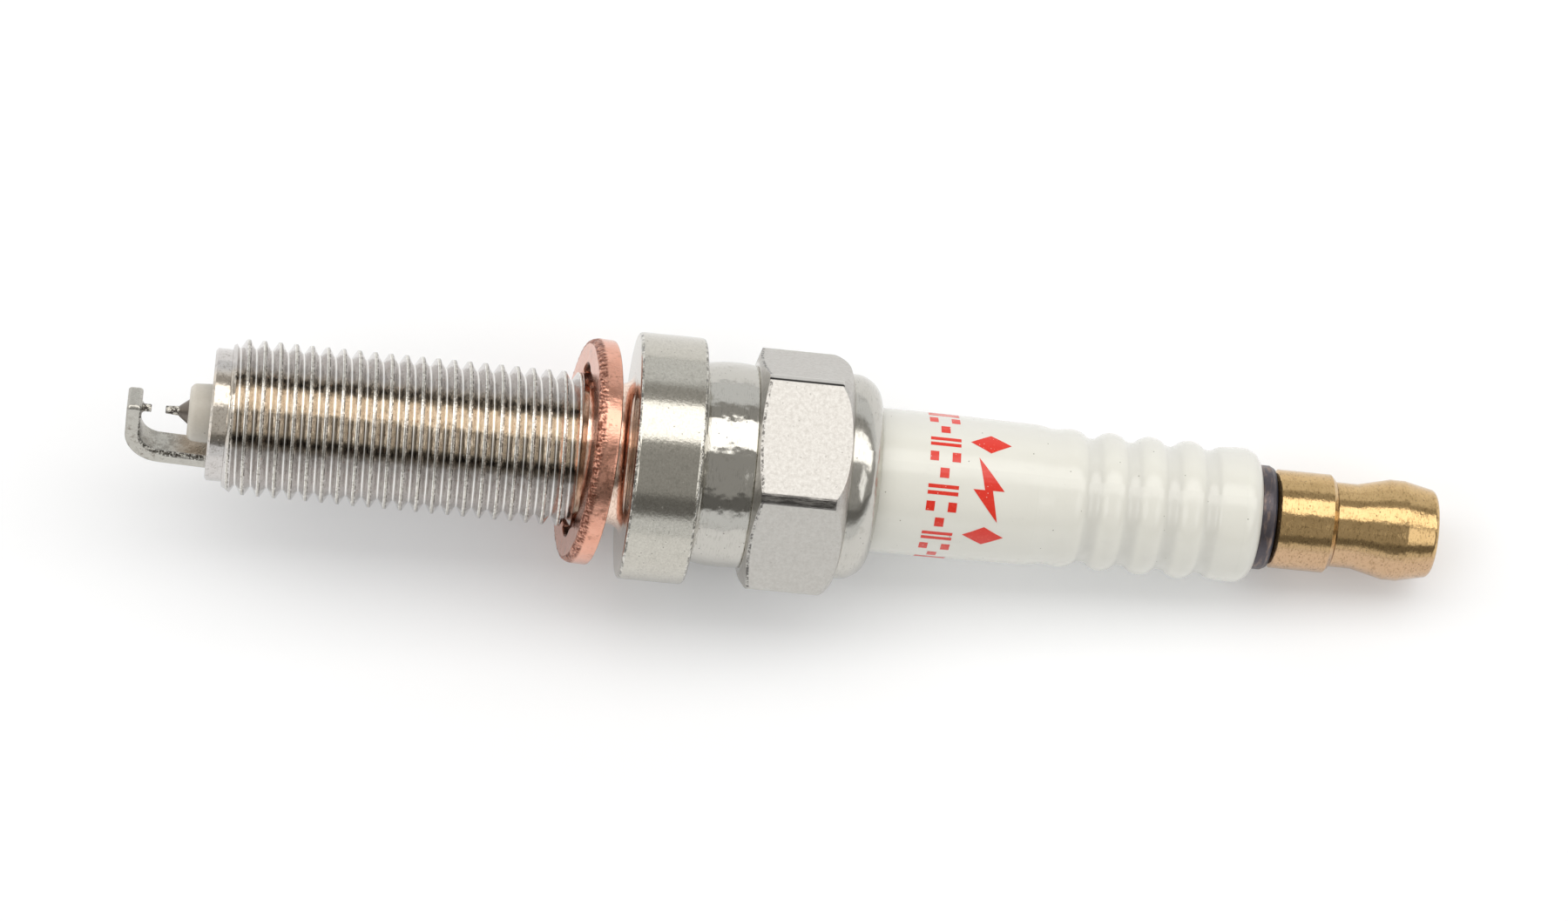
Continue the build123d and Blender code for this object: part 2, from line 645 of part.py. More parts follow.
# ---------------------------------------------------------------- terminal nut
with BuildPart() as terminal_nut:
    with BuildSketch(Plane.XZ):
        with BuildLine():
            Polyline(
                (NUT_START_X, NUT_BORE_RADIUS + NUT_EDGE),
                (NUT_START_X, NUT_BASE_RADIUS - NUT_EDGE),
                (NUT_START_X + NUT_EDGE, NUT_BASE_RADIUS),
                (NUT_BASE_END_X - NUT_EDGE, NUT_BASE_RADIUS),
                (NUT_BASE_END_X, NUT_BASE_RADIUS - NUT_EDGE),
                (NUT_BASE_END_X + NUT_WAIST_STEP, NUT_WAIST_RADIUS),
                (NUT_WAIST_END_X, NUT_WAIST_RADIUS),
                (NUT_CROWN_X, NUT_CROWN_RADIUS),
                (NUT_CROWN_END_X, NUT_CROWN_RADIUS),
                (NUT_END_X - NUT_TIP_ROUND, NUT_TIP_RADIUS),
            )
            ThreePointArc(
                (NUT_END_X - NUT_TIP_ROUND, NUT_TIP_RADIUS),
                (NUT_END_X - NUT_TIP_ROUND * 0.3, NUT_TIP_RADIUS - NUT_TIP_ROUND * 0.35),
                (NUT_END_X, NUT_TIP_RADIUS - NUT_TIP_ROUND * 1.2),
            )
            # blind bore that screws onto the stud
            Polyline(
                (NUT_END_X, NUT_TIP_RADIUS - NUT_TIP_ROUND * 1.2),
                (NUT_END_X, 0),
                (NUT_BORE_END_X + NUT_BORE_POINT, 0),
                (NUT_BORE_END_X, NUT_BORE_RADIUS),
                (NUT_START_X + NUT_EDGE, NUT_BORE_RADIUS),
                (NUT_START_X, NUT_BORE_RADIUS + NUT_EDGE),
            )
        make_face()
    revolve(axis=Axis.X)
finish(terminal_nut.part, "terminal_nut")
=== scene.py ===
from math import ceil, cos, pi, radians, sin, tan

import bpy
import numpy as np
from mathutils import Matrix, Vector, noise


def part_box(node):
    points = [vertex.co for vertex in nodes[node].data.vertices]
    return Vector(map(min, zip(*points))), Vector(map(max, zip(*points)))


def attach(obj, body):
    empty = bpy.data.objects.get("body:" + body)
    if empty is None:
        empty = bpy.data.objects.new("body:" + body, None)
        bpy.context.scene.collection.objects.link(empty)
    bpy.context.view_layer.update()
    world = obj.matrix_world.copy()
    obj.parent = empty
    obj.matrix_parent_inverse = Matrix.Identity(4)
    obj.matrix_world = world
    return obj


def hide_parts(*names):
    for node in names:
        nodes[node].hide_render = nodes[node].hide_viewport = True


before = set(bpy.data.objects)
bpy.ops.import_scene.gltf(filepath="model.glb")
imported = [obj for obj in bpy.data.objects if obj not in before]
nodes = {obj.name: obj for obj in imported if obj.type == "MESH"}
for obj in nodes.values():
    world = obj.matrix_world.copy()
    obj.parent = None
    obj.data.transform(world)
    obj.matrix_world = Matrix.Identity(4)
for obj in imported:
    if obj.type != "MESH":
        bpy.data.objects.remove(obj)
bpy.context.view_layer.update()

# The frame's unit is the metre. Every size below is in millimetres, times MM where it meets the frame.
# +X runs along the plug from the firing end to the terminal, +Z is up.
MM = 0.001

# places along the plug
PILOT_END = -25.35
THREAD_END = -3.4
THREAD_PHASE = 23.316           # added to x, this is a whole number where a crest passes +Z
FLANGE_END = 4.3
HEXAGON_START = 7.7
HEXAGON_END = 13.75
HEXAGON_CORNER_RADIUS = 7.86
CHAMFER_RADIUS = 6.7            # the hexagon's front chamfer starts here and slopes back
CHAMFER_SLOPE = 0.336
NOSE_BARE_X = -26.0             # the insulator's nose is unglazed in front of this
RIBS_START = 27.4
NUT_FOOT = 41.45
NUT_WAIST = 45.42

# the ground electrode, as directions (y, z) across it and away from the axis, and its inner bend
STRAP_ACROSS = (-0.878, 0.479)
STRAP_OUT = (-0.479, -0.878)
STRAP_BEND_X = -29.44
STRAP_BEND_OUT = 2.74           # the bend's middle, away from the axis, carried along the slope to x = 0
STRAP_SLOPE = 0.04
STRAP_BEND_RADIUS = 1.36

# the gasket leans on the neck, its +Z side towards the flange
GASKET_TILT = 6.6
GASKET_THICKNESS = 1.5
GASKET_HOLE = 5.08
GASKET_NIB_RADIUS = 4.66
GASKET_NIB_ANGLES = (18, -72, -162)
GASKET_NIB_WIDTH = 2.6
GASKET_NIB_HEIGHT = 0.52        # how far out from the hole the punch cuts each nib
GASKET_NIB_BOW = 0.36           # how much less it cuts at a nib's sides
GASKET_CUT_DEPTH = 0.22         # how far a nib lies below the face at its cut
GASKET_NIB_SLOPE = 0.95         # and how much deeper it lies at its tip
GASKET_TURNS = 720              # steps round the ring
GASKET_LIP = 0.22               # rounding of the hole's front edge
GASKET_BACK_EDGE = 0.08         # rounding of its back edge
TEAR_WIDTH = 0.34               # the torn outer edge, along the radius
BORE_SHADE = 0.6                # painted shade on the hole's wall

# marks printed round the insulator's barrel
BARREL_RADIUS = 4.6
BARREL_TAPER_START = 20.0       # behind this the barrel narrows by the drop over the length
BARREL_TAPER_DROP = 0.1
BARREL_TAPER_LENGTH = 5.9
MARKS_X = 19.8
MARKS_WIDTH = 1.95
MARKS_COUNT = 13
MARKS_START = -84               # degrees
MARKS_STEP = 13.5
MARKS_ARC = 8
EMBLEM_X = 22.7
EMBLEM_HALF = 1.3
DIAMOND_ANGLE = 40
DIAMOND_ARC = 18
PRINT_THICKNESS = 0.012
PRINT_BAND = 4                  # degrees round the barrel that one flat facet of the print spans
CAMERA_LEAN = 16.4              # degrees from +Z towards -Y, the side of the plug that shows

# camera
CAMERA_LENS = 140
CAMERA_SENSOR = 36
CAMERA_PLACE = (-26.5, -109, 371)
CAMERA_AIM = (10, 0, 0)
CAMERA_RAISE = 0.62             # how far above CAMERA_AIM the picture's middle lies
CAMERA_ROLL = 5.63              # degrees

FLOOR_HALF = 1.5                # metres
FLOOR_GAP = 0.01                # room under the plug, in millimetres

# light
KEY_RADIANCE = 1.87
KEY_LOW, KEY_HIGH = 1, 36.5     # the softbox's edges, in degrees from +Z towards +Y
KEY_DISTANCE = 0.6              # metres, like the other sizes of the lights
KEY_LENGTH = 3.2
KEY_COLOR = (1.0, 0.985, 0.96)
FILL_POWER = 0.5
FILL_DISTANCE = 0.7
FILL_SIZE = 0.35
FILL_SIDE = (0.62, -0.33, 0.71)
REAR_FILL_SHARE = 0.8
FLOOR_GLOW = 0.15
SKY = (0.85, 0.86, 0.86)
MIDDLE = (0.40, 0.39, 0.37)
DARK = (0.17, 0.165, 0.155)
# the tent's light by direction, in degrees from +Z towards +Y
TENT = (
    (-90, SKY), (-75, SKY), (-70, DARK), (-53, DARK), (-49, MIDDLE), (40, MIDDLE), (55, MIDDLE), (60, SKY),
)


# ------------------------------------------------------------------ shader helpers
class Finish:
    """A material with a Principled shader and short ways to add nodes to it.
    Its coordinates are the row frame's, in millimetres."""

    def __init__(self, name, color, roughness, metallic=0.0, **sockets):
        self.material = bpy.data.materials.new(name)
        self.material.use_nodes = True
        self.tree = self.material.node_tree
        self.shader = self.tree.nodes["Principled BSDF"]
        self.shader.inputs["Base Color"].default_value = (*color, 1)
        self.shader.inputs["Roughness"].default_value = roughness
        self.shader.inputs["Metallic"].default_value = metallic
        for socket, value in sockets.items():
            self.shader.inputs[socket.replace("_", " ").title()].default_value = value
        place = self.node("ShaderNodeTexCoord").outputs["Object"]
        self.place = self.vector("SCALE", place, scale=1 / MM)
        self.x, self.y, self.z = self.split(self.place)
        self.radius = self.math("SQRT", self.math("ADD", self.math("MULTIPLY", self.y, self.y),
                                                  self.math("MULTIPLY", self.z, self.z)))
        # degrees round the axis, from +Z towards +Y
        self.turn = self.math("MULTIPLY", self.math("ARCTAN2", self.y, self.z), 180 / pi)

    def node(self, kind, **inputs):
        made = self.tree.nodes.new(kind)
        for socket, value in inputs.items():
            self.put(value, made.inputs[socket])
        return made

    def put(self, value, socket):
        if isinstance(value, bpy.types.NodeSocket):
            self.tree.links.new(value, socket)
        else:
            socket.default_value = value

    def math(self, operation, *values, clamp=False):
        made = self.tree.nodes.new("ShaderNodeMath")
        made.operation = operation
        made.use_clamp = clamp
        for value, socket in zip(values, made.inputs):
            self.put(value, socket)
        return made.outputs[0]

    def vector(self, operation, value, other=None, scale=None):
        made = self.tree.nodes.new("ShaderNodeVectorMath")
        made.operation = operation
        self.put(value, made.inputs[0])
        if other is not None:
            self.put(other, made.inputs[1])
        if scale is not None:
            self.put(scale, made.inputs["Scale"])
        return made.outputs["Vector"]

    def split(self, value):
        made = self.node("ShaderNodeSeparateXYZ", Vector=value)
        return made.outputs[0], made.outputs[1], made.outputs[2]

    def stretched(self, x=1.0, y=1.0, z=1.0):
        """The coordinates with each axis multiplied, which shortens a pattern along it."""
        return self.vector("MULTIPLY", self.place, (x, y, z))

    def noise(self, scale, detail=3.0, roughness=0.55, place=None, distortion=0.0):
        made = self.node("ShaderNodeTexNoise", Scale=scale, Detail=detail, Roughness=roughness,
                         Distortion=distortion)
        self.put(self.place if place is None else place, made.inputs["Vector"])
        return made.outputs["Fac"]

    def rings(self, scale, detail=2.0, wander=0.0):
        """Fine turning marks: a pattern that changes along the axis and hardly round it."""
        return self.noise(scale, detail, 0.6, self.stretched(1, wander, wander))

    def specks(self, scale, size, place=None):
        """1 inside small round specks, 0 elsewhere."""
        made = self.node("ShaderNodeTexVoronoi", Scale=scale)
        self.put(self.place if place is None else place, made.inputs["Vector"])
        return self.step(made.outputs["Distance"], size, size * 0.6)

    def painted(self, name):
        """A value stored on the mesh's points."""
        made = self.node("ShaderNodeAttribute")
        made.attribute_name = name
        return made.outputs["Fac"]

    def step(self, value, low, high):
        """0 at low and 1 at high, smoothly; low may be the larger."""
        made = self.node("ShaderNodeMapRange", **{"Value": value, "From Min": low, "From Max": high})
        made.interpolation_type = "SMOOTHSTEP"
        return made.outputs["Result"]

    def between(self, value, low, high, edge=0.1):
        """1 where value is between low and high."""
        return self.math("MULTIPLY", self.step(value, low - edge, low + edge),
                         self.step(value, high + edge, high - edge))

    def lerp(self, low, high, amount):
        made = self.node("ShaderNodeMapRange", **{"Value": amount, "To Min": low, "To Max": high})
        return made.outputs["Result"]

    def mix(self, a, b, amount):
        """A colour between a and b."""
        made = self.tree.nodes.new("ShaderNodeMix")
        made.data_type = "RGBA"
        self.put(amount, made.inputs["Factor"])
        for value, socket in ((a, made.inputs[6]), (b, made.inputs[7])):
            self.put((*value, 1) if isinstance(value, tuple) else value, socket)
        return made.outputs[2]

    def times(self, *values):
        product = values[0]
        for value in values[1:]:
            product = self.math("MULTIPLY", product, value)
        return product

    def plus(self, *values):
        total = values[0]
        for value in values[1:]:
            total = self.math("ADD", total, value)
        return total

    def color(self, value):
        self.put(value, self.shader.inputs["Base Color"])

    def roughness(self, value):
        self.put(value, self.shader.inputs["Roughness"])

    def bump(self, *layers):
        """Each layer is (height from 0 to 1, depth in millimetres)."""
        normal = None
        for height, depth in layers:
            made = self.node("ShaderNodeBump", Height=height, Distance=depth * MM, Strength=1.0)
            if normal is not None:
                self.put(normal, made.inputs["Normal"])
            normal = made.outputs["Normal"]
        self.put(normal, self.shader.inputs["Normal"])


# ------------------------------------------------------------------ materials
def thread_place(m):
    """Signed places across the shell's thread in millimetres: from the nearest crest's middle, and
    from the nearest groove's."""
    helix = m.plus(m.x, m.math("DIVIDE", m.turn, 360.0), THREAD_PHASE)
    along_crest = m.math("SUBTRACT", m.math("FRACT", m.plus(helix, 0.5)), 0.5)
    along_groove = m.math("SUBTRACT", m.math("FRACT", helix), 0.5)
    return along_crest, along_groove


def shell_areas(m):
    """Masks of the shell's parts."""
    thread = m.step(m.x, THREAD_END + 0.3, THREAD_END - 0.1)
    flange = m.times(m.between(m.x, 0, FLANGE_END, 0.05), m.step(m.radius, 6.8, 7.2))
    groove = m.between(m.x, FLANGE_END + 0.05, HEXAGON_START, 0.05)
    hexagon = m.between(m.x, HEXAGON_START, HEXAGON_END + 0.05, 0.05)
    collar = m.step(m.x, HEXAGON_END - 0.05, HEXAGON_END + 0.1)
    return {
        "thread": thread,
        "cut": m.times(thread, m.step(m.x, PILOT_END, PILOT_END + 0.2)),
        "pilot": m.step(m.x, PILOT_END, PILOT_END - 0.1),
        "neck": m.times(m.between(m.x, THREAD_END + 0.2, -0.1, 0.15), m.step(m.radius, 5.9, 5.1)),
        "flange": flange,
        "groove": groove,
        "hexagon": m.times(hexagon, m.step(m.radius, 6.62, 6.72)),
        "collar": collar,
        "polished": m.math("MAXIMUM", groove, collar),
    }


def thread_lines(m, cut):
    """Masks of the thin lines that follow the thread's helix."""
    along_crest, along_groove = thread_place(m)

    def line(along, low, high, edge):
        return m.times(cut, m.between(along, low, high, edge))

    groove_side = line(along_groove, -0.115, -0.035, 0.012)
    return {
        "crest": line(along_crest, -0.12, 0.06, 0.012),
        "crest_edge": line(along_crest, -0.125, -0.07, 0.012),
        "crest_shade": line(along_crest, 0.055, 0.125, 0.015),
        "crest_round": line(along_crest, -0.11, 0.05, 0.035),
        "root": line(along_groove, -0.028, 0.028, 0.01),
        "root_painted_shade": m.times(groove_side, m.between(m.turn, -37, -10, 2)),
        "beside_crest": m.step(m.math("ABSOLUTE", along_crest), 0.12, 0.20),
    }


def plating(m, areas, grain):
    """The shell's plain colours. On the camera's side of the plug the thread's flanks get a painted warm
    reflection and a painted highlight band, and the hexagon's sloping faces are painted lighter."""
    color = m.mix((0.485, 0.465, 0.415), (0.61, 0.59, 0.53), m.step(grain, 0.30, 0.70))
    flank = m.mix((0.55, 0.525, 0.51), (0.665, 0.64, 0.62), grain)
    # painted reflection: a warm tint and a highlight band on the thread's flanks, by angle round the axis
    painted_warm_reflection = m.mix((0.61, 0.54, 0.46), (0.74, 0.68, 0.60), m.step(grain, 0.30, 0.70))
    painted_highlight_flank = m.mix((0.80, 0.73, 0.64), (0.93, 0.87, 0.79), m.step(grain, 0.30, 0.70))
    painted_warm_reflection = m.mix(painted_warm_reflection, painted_highlight_flank, m.between(m.turn, -33, -9, 4))
    flank = m.mix(flank, painted_warm_reflection, m.between(m.turn, -40, 24, 6))
    color = m.mix(color, flank, areas["thread"])
    color = m.mix(color, (0.545, 0.53, 0.49), areas["polished"])
    face_grain = m.step(m.noise(4, 6, 0.8), 0.32, 0.66)
    metal_face = m.mix((0.43, 0.41, 0.385), (0.56, 0.545, 0.52), face_grain)
    # painted light: the hexagon's sloping faces are made lighter
    painted_light_sloping = m.plus(m.times(m.step(m.turn, 28, 33), 0.5), m.step(m.turn, -29, -34))
    metal_face = m.mix(metal_face, (0.64, 0.625, 0.58), m.times(painted_light_sloping, 0.35))
    return m.mix(color, metal_face, areas["hexagon"])


def wear(m, color, areas, turned, pits):
    """Soft stains, fine speckle and turning streaks in the plating, and a painted gasket reflection on the
    neck.
    """
    flange, neck, hexagon = areas["flange"], areas["neck"], areas["hexagon"]
    stains = m.step(m.noise(1.6, 5, 0.65), 0.56, 0.70)
    color = m.mix(color, (0.33, 0.31, 0.27), m.times(stains, m.lerp(0.30, 0.08, hexagon)))
    streaks = m.step(turned, 0.52, 0.70)
    streaked = m.plus(m.times(flange, 0.35), m.times(neck, 0.3))
    color = m.mix(color, (0.32, 0.305, 0.27), m.times(streaks, streaked))
    scoured = m.step(m.noise(14, 3, 0.6, m.stretched(1, 0.12, 0.12)), 0.50, 0.66)
    scoured = m.times(scoured, m.step(m.noise(0.7, 3, 0.6), 0.45, 0.55))
    color = m.mix(color, (0.26, 0.25, 0.225), m.times(scoured, areas["polished"], 0.3))
    dust = m.step(m.noise(9, 4, 0.9), 0.60, 0.68)
    color = m.mix(color, (0.26, 0.25, 0.22), m.times(dust, flange, 0.45))
    color = m.mix(color, (0.10, 0.09, 0.08), m.times(pits, m.lerp(0.75, 0.2, hexagon)))
    # painted reflection: the copper gasket's colour on the neck
    painted_gasket_reflection = m.mix((0.70, 0.46, 0.34), (0.98, 0.76, 0.63), m.step(turned, 0.35, 0.6))
    return m.mix(color, painted_gasket_reflection, m.times(neck, 0.8))


def worn_thread(m, color, areas, lines):
    """Dark dirt and rust in places, painted shade and dark bands, nicked crests with painted highlights,
    painted root highlights.
    """
    cut, crest = areas["cut"], lines["crest"]
    dirt = m.step(m.noise(2.3, 6, 0.8), 0.57, 0.66)
    color = m.mix(color, (0.17, 0.13, 0.10), m.times(cut, dirt, 0.6))
    pilot_dirt = m.step(m.noise(4, 6, 0.85), 0.52, 0.62)
    color = m.mix(color, (0.16, 0.13, 0.10), m.times(areas["pilot"], pilot_dirt, 0.5))
    # painted shade in the thread's roots on the camera's side
    color = m.mix(color, (0.06, 0.045, 0.035), m.times(lines["root_painted_shade"], 0.75))
    # two painted dark reflection bands along the thread, on the camera's side of the plug; the soot mask
    # below is this painted shade
    painted_dark_bands = m.plus(m.between(m.turn, 13, 22, 3), m.between(m.turn, -38, -30, 3))
    soot = m.times(cut, painted_dark_bands, m.step(m.noise(3.2, 5, 0.8), 0.40, 0.56), lines["beside_crest"])
    color = m.mix(color, (0.035, 0.032, 0.032), m.times(soot, 0.85))
    color = m.mix(color, (0.34, 0.13, 0.04), m.times(cut, m.specks(1.5, 0.11), 0.7))
    nicks = m.step(m.noise(4.6, 5, 0.85), 0.53, 0.60)
    crest_color = m.mix((0.40, 0.375, 0.34), (0.70, 0.67, 0.61), m.step(m.noise(7, 5, 0.8), 0.35, 0.62))
    color = m.mix(color, crest_color, m.times(crest, 0.9))
    # painted highlights on the crests' edges, and painted shade beside the crests
    painted_crest_glint = m.times(lines["crest_edge"], m.step(m.noise(1.9, 4), 0.33, 0.44))
    color = m.mix(color, (0.98, 0.97, 0.93), m.times(painted_crest_glint, 0.95))
    shade = m.times(lines["crest_shade"], m.step(m.noise(3.1, 5, 0.8), 0.42, 0.52))
    color = m.mix(color, (0.10, 0.085, 0.07), m.times(shade, 0.92))
    color = m.mix(color, (0.14, 0.12, 0.10), m.times(crest, nicks, 0.55))
    # painted highlight in the thread's roots
    return m.mix(color, (0.99, 0.98, 0.95), m.times(lines["root"], 0.9))


def chipped_edges(m, color, hexagon, rim):
    """Chips and a painted highlight on the flange's edges, chips on the hexagon's front edge, and painted
    shade and painted light lines on the hexagon's corners."""
    chips = m.step(m.noise(2.7, 6, 0.85), 0.47, 0.54)
    # painted highlight along the flange's edges
    painted_rim_highlight = m.times(rim, m.step(m.noise(1.3, 4), 0.42, 0.55))
    color = m.mix(color, (0.84, 0.82, 0.77), m.times(painted_rim_highlight, 0.7))
    color = m.mix(color, (0.09, 0.085, 0.075), m.times(rim, chips, 0.85))
    chamfer = m.plus(m.times(m.math("SUBTRACT", m.radius, CHAMFER_RADIUS), CHAMFER_SLOPE), HEXAGON_START)
    front = m.between(m.math("SUBTRACT", m.x, chamfer), 0.02, 0.20, 0.03)
    front_edge = m.times(front, hexagon, m.step(m.x, HEXAGON_END - 3, HEXAGON_END - 4))
    color = m.mix(color, (0.07, 0.065, 0.06), m.times(front_edge, chips, 0.85))
    corner = m.times(m.step(m.radius, HEXAGON_CORNER_RADIUS, HEXAGON_CORNER_RADIUS + 0.05), hexagon)
    # painted shade and painted light: a dark line and a light line on the upper corner
    painted_dark_corner_line = m.times(corner, m.between(m.turn, 28.5, 29.7, 0.2))
    color = m.mix(color, (0.66, 0.64, 0.61), m.times(corner, m.step(m.turn, 29.6, 30.4), 0.9))
    color = m.mix(color, (0.03, 0.027, 0.025), m.times(painted_dark_corner_line, 0.96))
    # painted shade on the lower corner, with scratch streaks in it; the scratches colour below is this shade
    lower_corner = m.times(corner, m.between(m.turn, -33, -27, 0.5))
    scratched = m.step(m.noise(5, 5, 0.8, m.stretched(0.15, 1, 1)), 0.42, 0.62)
    scratches = m.mix((0.05, 0.047, 0.045), (0.26, 0.25, 0.235), scratched)
    return m.mix(color, scratches, m.times(lower_corner, 0.9))


def shell_relief(m, areas, lines, turned, pits, rim):
    flange, groove, hexagon, collar = (areas[key] for key in ("flange", "groove", "hexagon", "collar"))
    turned_areas = m.plus(m.times(groove, 0.7), m.times(collar, 0.45), m.times(flange, 0.12),
                          m.times(areas["neck"], 0.5))
    m.bump(
        (m.times(m.noise(6, 2, 0.5), m.plus(m.times(flange, 0.9), 0.1)), 0.005),
        (m.times(turned, turned_areas), 0.010),
        (m.times(m.noise(3.0, 3, 0.6), hexagon), 0.018),
        (m.times(m.noise(0.7, 2, 0.5), groove), 0.085),
        (m.times(m.noise(1.2, 1), collar), 0.02),
        (m.times(m.noise(1.4, 2), areas["thread"]), 0.02),
        (lines["crest_round"], 0.022),
        (m.times(m.noise(5.0, 3, 0.8), m.plus(m.times(lines["crest"], 0.5), rim)), 0.03),
        (m.math("SUBTRACT", 1, pits), 0.012),
    )


def nickel_shell():
    m = Finish("nickel_plate", (0.54, 0.53, 0.48), 0.2, 1.0)
    areas = shell_areas(m)
    lines = thread_lines(m, areas["cut"])
    grain = m.noise(6, 6, 0.8)
    turned = m.rings(9, 4, 0.35)
    pits = m.specks(1.9, 0.085)
    front_rim = m.between(m.x, 0.05, 0.20, 0.04)
    rear_rim = m.between(m.x, FLANGE_END - 0.20, FLANGE_END - 0.05, 0.04)
    rim = m.times(m.plus(front_rim, rear_rim), m.step(m.radius, 7.5, 7.7))
    color = plating(m, areas, grain)
    color = wear(m, color, areas, turned, pits)
    color = worn_thread(m, color, areas, lines)
    m.color(chipped_edges(m, color, areas["hexagon"], rim))
    rough = m.plus(m.lerp(0.13, 0.19, grain), m.times(areas["hexagon"], 0.24))
    rough = m.plus(rough, m.times(areas["groove"], -0.07))
    m.roughness(m.plus(rough, m.times(lines["root"], 0.25), m.times(lines["crest"], 0.06)))
    shell_relief(m, areas, lines, turned, pits, rim)
    return m.material


def glazed_alumina():
    m = Finish("glazed_alumina", (0.80, 0.80, 0.74), 0.22, coat_weight=0.35, coat_roughness=0.16)
    bare = m.step(m.x, NOSE_BARE_X, NOSE_BARE_X - 0.6)
    clouds = m.noise(0.35, 3)
    color = m.mix((0.745, 0.735, 0.67), (0.795, 0.79, 0.725), clouds)
    # painted shade on the insulator's upper side
    painted_upper_shade = m.step(m.turn, 12, 55)             # the upper side is darker in the photo
    color = m.mix(color, (0.64, 0.635, 0.60), m.times(painted_upper_shade, 0.7))
    # painted shade in the valleys between the ribs
    painted_valley_shade = m.times(m.step(m.x, RIBS_START, RIBS_START + 0.6), m.step(m.radius, 4.30, 4.0))
    color = m.mix(color, (0.60, 0.595, 0.56), m.times(painted_valley_shade, 0.4))
    color = m.mix(color, m.mix((0.56, 0.52, 0.45), (0.66, 0.62, 0.55), m.noise(5, 4)), bare)
    specks = m.specks(1.05, 0.05)
    color = m.mix(color, (0.16, 0.14, 0.11), m.times(specks, 0.8))
    smears = m.step(m.noise(0.9, 4, 0.6, m.stretched(0.5, 1, 1)), 0.58, 0.72)
    color = m.mix(color, (0.70, 0.69, 0.64), m.times(smears, 0.25))
    m.color(color)
    m.roughness(m.lerp(0.22, 0.5, bare))
    m.bump((m.noise(0.9, 2), 0.012), (m.noise(6, 2), 0.0015), (m.math("SUBTRACT", 1, specks), 0.012))
    return m.material


def copper(name="copper"):
    """Soft copper. Where the mesh stores them, values darken the torn edge, with painted shade in its
    dips, and put painted shade in the punched cuts and on the hole's wall.
    """
    m = Finish(name, (0.86, 0.52, 0.40), 0.2, 1.0)
    clouds = m.noise(0.9, 4)
    grain = m.noise(8, 5, 0.75)
    color = m.mix((0.70, 0.33, 0.23), (0.82, 0.45, 0.34), clouds)
    color = m.mix(color, (0.62, 0.29, 0.20), m.times(m.step(grain, 0.5, 0.75), 0.5))
    # darker on one part of the ring, towards -Y and below the middle, where the tarnish pattern is made
    # denser
    low = m.times(m.step(m.turn, 2, -12), m.step(m.turn, -62, -42))
    tarnish = m.step(m.plus(m.noise(1.5, 6, 0.8), m.times(low, 0.10)), 0.56, 0.68)
    color = m.mix(color, (0.24, 0.105, 0.065), m.times(tarnish, 0.62))
    pits = m.specks(2.6, 0.10)
    color = m.mix(color, (0.16, 0.06, 0.04), m.times(pits, 0.6))
    color = m.mix(color, (0.12, 0.035, 0.02), m.times(m.painted("burr_and_shade"), 0.95))
    color = m.mix(color, (0.05, 0.02, 0.015), m.painted("cut_shade"))
    m.color(color)
    m.roughness(m.plus(m.lerp(0.12, 0.22, grain), m.times(m.painted("burr_and_shade"), 0.2)))
    scratches = m.noise(5, 5, 0.75, m.stretched(0.3, 1, 1), 0.8)
    m.bump((grain, 0.006), (scratches, 0.008), (m.noise(1.6, 3), 0.02))
    return m.material


def electrode_nickel():
    m = Finish("electrode_nickel", (0.50, 0.47, 0.41), 0.3, 1.0)
    grain = m.noise(8, 5, 0.75)
    color = m.mix((0.44, 0.42, 0.37), (0.62, 0.60, 0.54), m.noise(1.8, 4))
    cone = m.times(m.step(m.x, -27.6, -27.7), m.step(m.x, -28.5, -28.4))
    color = m.mix(color, (0.13, 0.10, 0.085), m.times(cone, 0.8))
    m.color(color)
    m.roughness(m.lerp(0.22, 0.42, grain))
    m.bump((grain, 0.012), (m.rings(9, 3, 0.5), 0.012))
    return m.material


